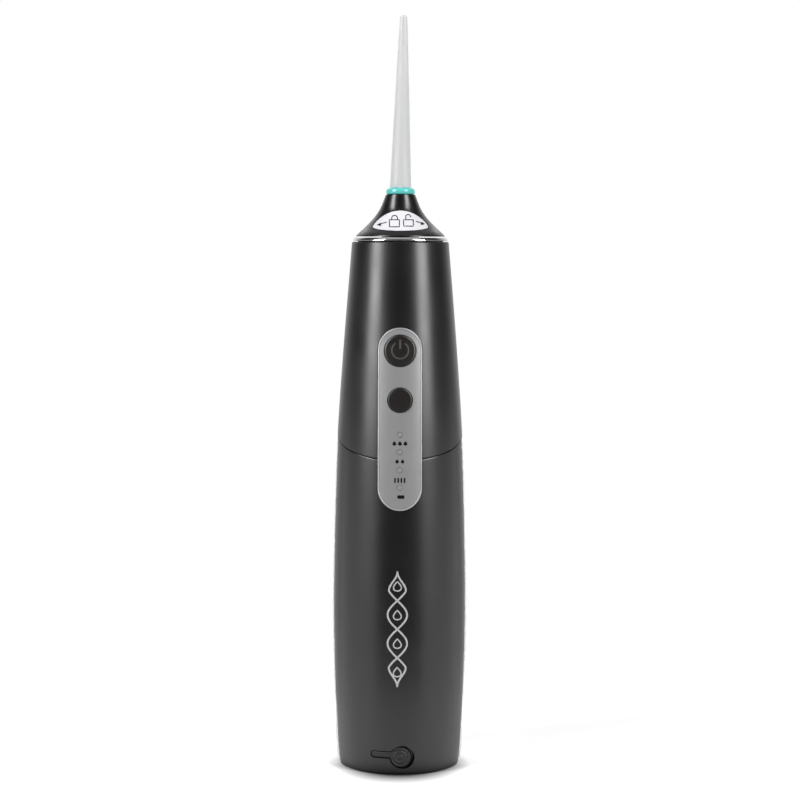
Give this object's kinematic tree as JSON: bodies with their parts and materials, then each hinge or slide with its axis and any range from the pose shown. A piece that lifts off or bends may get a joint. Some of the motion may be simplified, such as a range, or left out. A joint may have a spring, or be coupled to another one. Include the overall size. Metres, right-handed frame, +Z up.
{
  "type": "cordless water flosser",
  "caption": "Slim upright cordless oral irrigator: black tapered body, pill control panel, flared lock cap, tapered jet tip and a translucent slide-off rear tank.",
  "frame": {"origin": "centre of the base, on the face it stands on", "axes": "+Z up along the body, -Y out of the front with the control panel, +X to the viewer's right"},
  "size_m": [0.0522, 0.0523, 0.29],
  "materials": {
    "shell_black": "satin",
    "inner_black": "matte",
    "panel_grey": "satin",
    "bezel_metal": "satin",
    "button_black": "satin",
    "window_clear": "gloss",
    "ring_chrome": "polished",
    "label_white": "satin",
    "tip_clear": "gloss",
    "tank_clear": "gloss",
    "ring_teal": "gloss",
    "seal_rubber": "matte",
    "plug_rubber": "matte",
    "screw_steel": "satin",
    "motor_steel": "satin",
    "pinion_brass": "satin",
    "gear_white": "matte",
    "frame_natural": "matte",
    "pump_grey": "satin",
    "tube_clear": "gloss",
    "board_green": "matte",
    "switch_dark": "matte",
    "cell_blue": "satin"
  },
  "bodies": {
    "handle": {"battery": "cell_blue", "bay_cover": "inner_black", "bay_screw_1": "screw_steel", "bay_screw_2": "screw_steel", "bay_screw_3": "screw_steel", "bay_screw_4": "screw_steel", "charge_jack": "inner_black", "chrome_ring": "ring_chrome", "control_panel": "panel_grey", "gear_axle": "screw_steel", "inlet_valve": "seal_rubber", "jet_neck": "inner_black", "light_pipe_1": "window_clear", "light_pipe_2": "window_clear", "light_pipe_3": "window_clear", "light_pipe_4": "window_clear", "lower_front_shell": "shell_black", "main_board": "board_green", "mode_switch": "switch_dark", "motor": "motor_steel", "neck_nut": "screw_steel", "outlet_tube": "tube_clear", "outlet_valve": "seal_rubber", "panel_bezel": "bezel_metal", "power_switch": "switch_dark", "pump_base": "frame_natural", "pump_cylinder": "pump_grey", "pump_screw_left": "screw_steel", "pump_screw_right": "screw_steel", "suction_filter": "gear_white", "suction_tube": "tube_clear", "upper_housing": "shell_black", "valve_head": "pump_grey"},
    "power_button": {"power_button": "button_black"},
    "mode_button": {"mode_button": "button_black"},
    "lock_cap": {"lock_cap": "shell_black", "lock_label": "label_white"},
    "socket": {"nozzle_socket": "inner_black", "socket_seal": "seal_rubber"},
    "tip": {"jet_tip": "tip_clear", "tip_ring": "ring_teal", "tip_o_ring": "seal_rubber"},
    "pinion": {"motor_pinion": "pinion_brass"},
    "gear": {"drive_gear": "gear_white"},
    "rod": {"con_rod": "gear_white"},
    "piston": {"piston": "gear_white", "piston_seal": "seal_rubber"},
    "plug": {"charge_plug": "plug_rubber"},
    "tank": {"water_tank": "tank_clear", "tank_grommet": "seal_rubber", "lid_pin": "screw_steel"},
    "lid": {"fill_lid": "tank_clear", "lid_seal": "seal_rubber"}
  },
  "joints": [
    {"name": "power_press", "type": "slide", "parent": "handle", "child": "power_button", "axis": [0, 1, 0], "range_m": [0, 0.0008], "stiffness_N_per_m": 800},
    {"name": "mode_press", "type": "slide", "parent": "handle", "child": "mode_button", "axis": [0, 1, 0], "range_m": [0, 0.0008], "stiffness_N_per_m": 800},
    {"name": "cap_turn", "type": "hinge", "parent": "handle", "child": "lock_cap", "pos_m": [0, 0, 0.2056], "axis": [0, 0, 1], "range_deg": [0, 45]},
    {"name": "socket_turn", "type": "hinge", "parent": "handle", "child": "socket", "pos_m": [0, 0, 0.205], "axis": [0, 0, 1], "continuous": true},
    {"name": "tip_pull", "type": "slide", "parent": "socket", "child": "tip", "axis": [0, 0, 1], "range_m": [0, 0.03]},
    {"name": "drive_spin", "type": "hinge", "parent": "handle", "child": "gear", "pos_m": [0, -0.0072, 0.1433], "axis": [0, 1, 0], "continuous": true},
    {"name": "motor_spin", "type": "hinge", "parent": "handle", "child": "pinion", "pos_m": [0, -0.0072, 0.1282], "axis": [0, 1, 0], "continuous": true},
    {"name": "rod_turn", "type": "hinge", "parent": "gear", "child": "rod", "pos_m": [0.001, 0, 0.1433], "axis": [0, 1, 0], "continuous": true},
    {"name": "piston_stroke", "type": "slide", "parent": "handle", "child": "piston", "axis": [0, 0, 1], "range_m": [-0.001, 0.001]},
    {"name": "plug_swing", "type": "hinge", "parent": "handle", "child": "plug", "pos_m": [-0.0106, -0.02213, 0.008], "axis": [0, 0, -1], "range_deg": [0, 100]},
    {"name": "tank_slide", "type": "slide", "parent": "handle", "child": "tank", "axis": [0, 0, -1], "range_m": [0, 0.14]},
    {"name": "lid_swing", "type": "hinge", "parent": "tank", "child": "lid", "pos_m": [0, 0.0247, 0.0953], "axis": [1, 0, 0], "range_deg": [0, 110]}
  ],
  "couplings": [
    {"joint": "motor_spin", "follows": "drive_spin", "ratio": -4},
    {"joint": "rod_turn", "follows": "drive_spin", "ratio": -1}
  ]
}
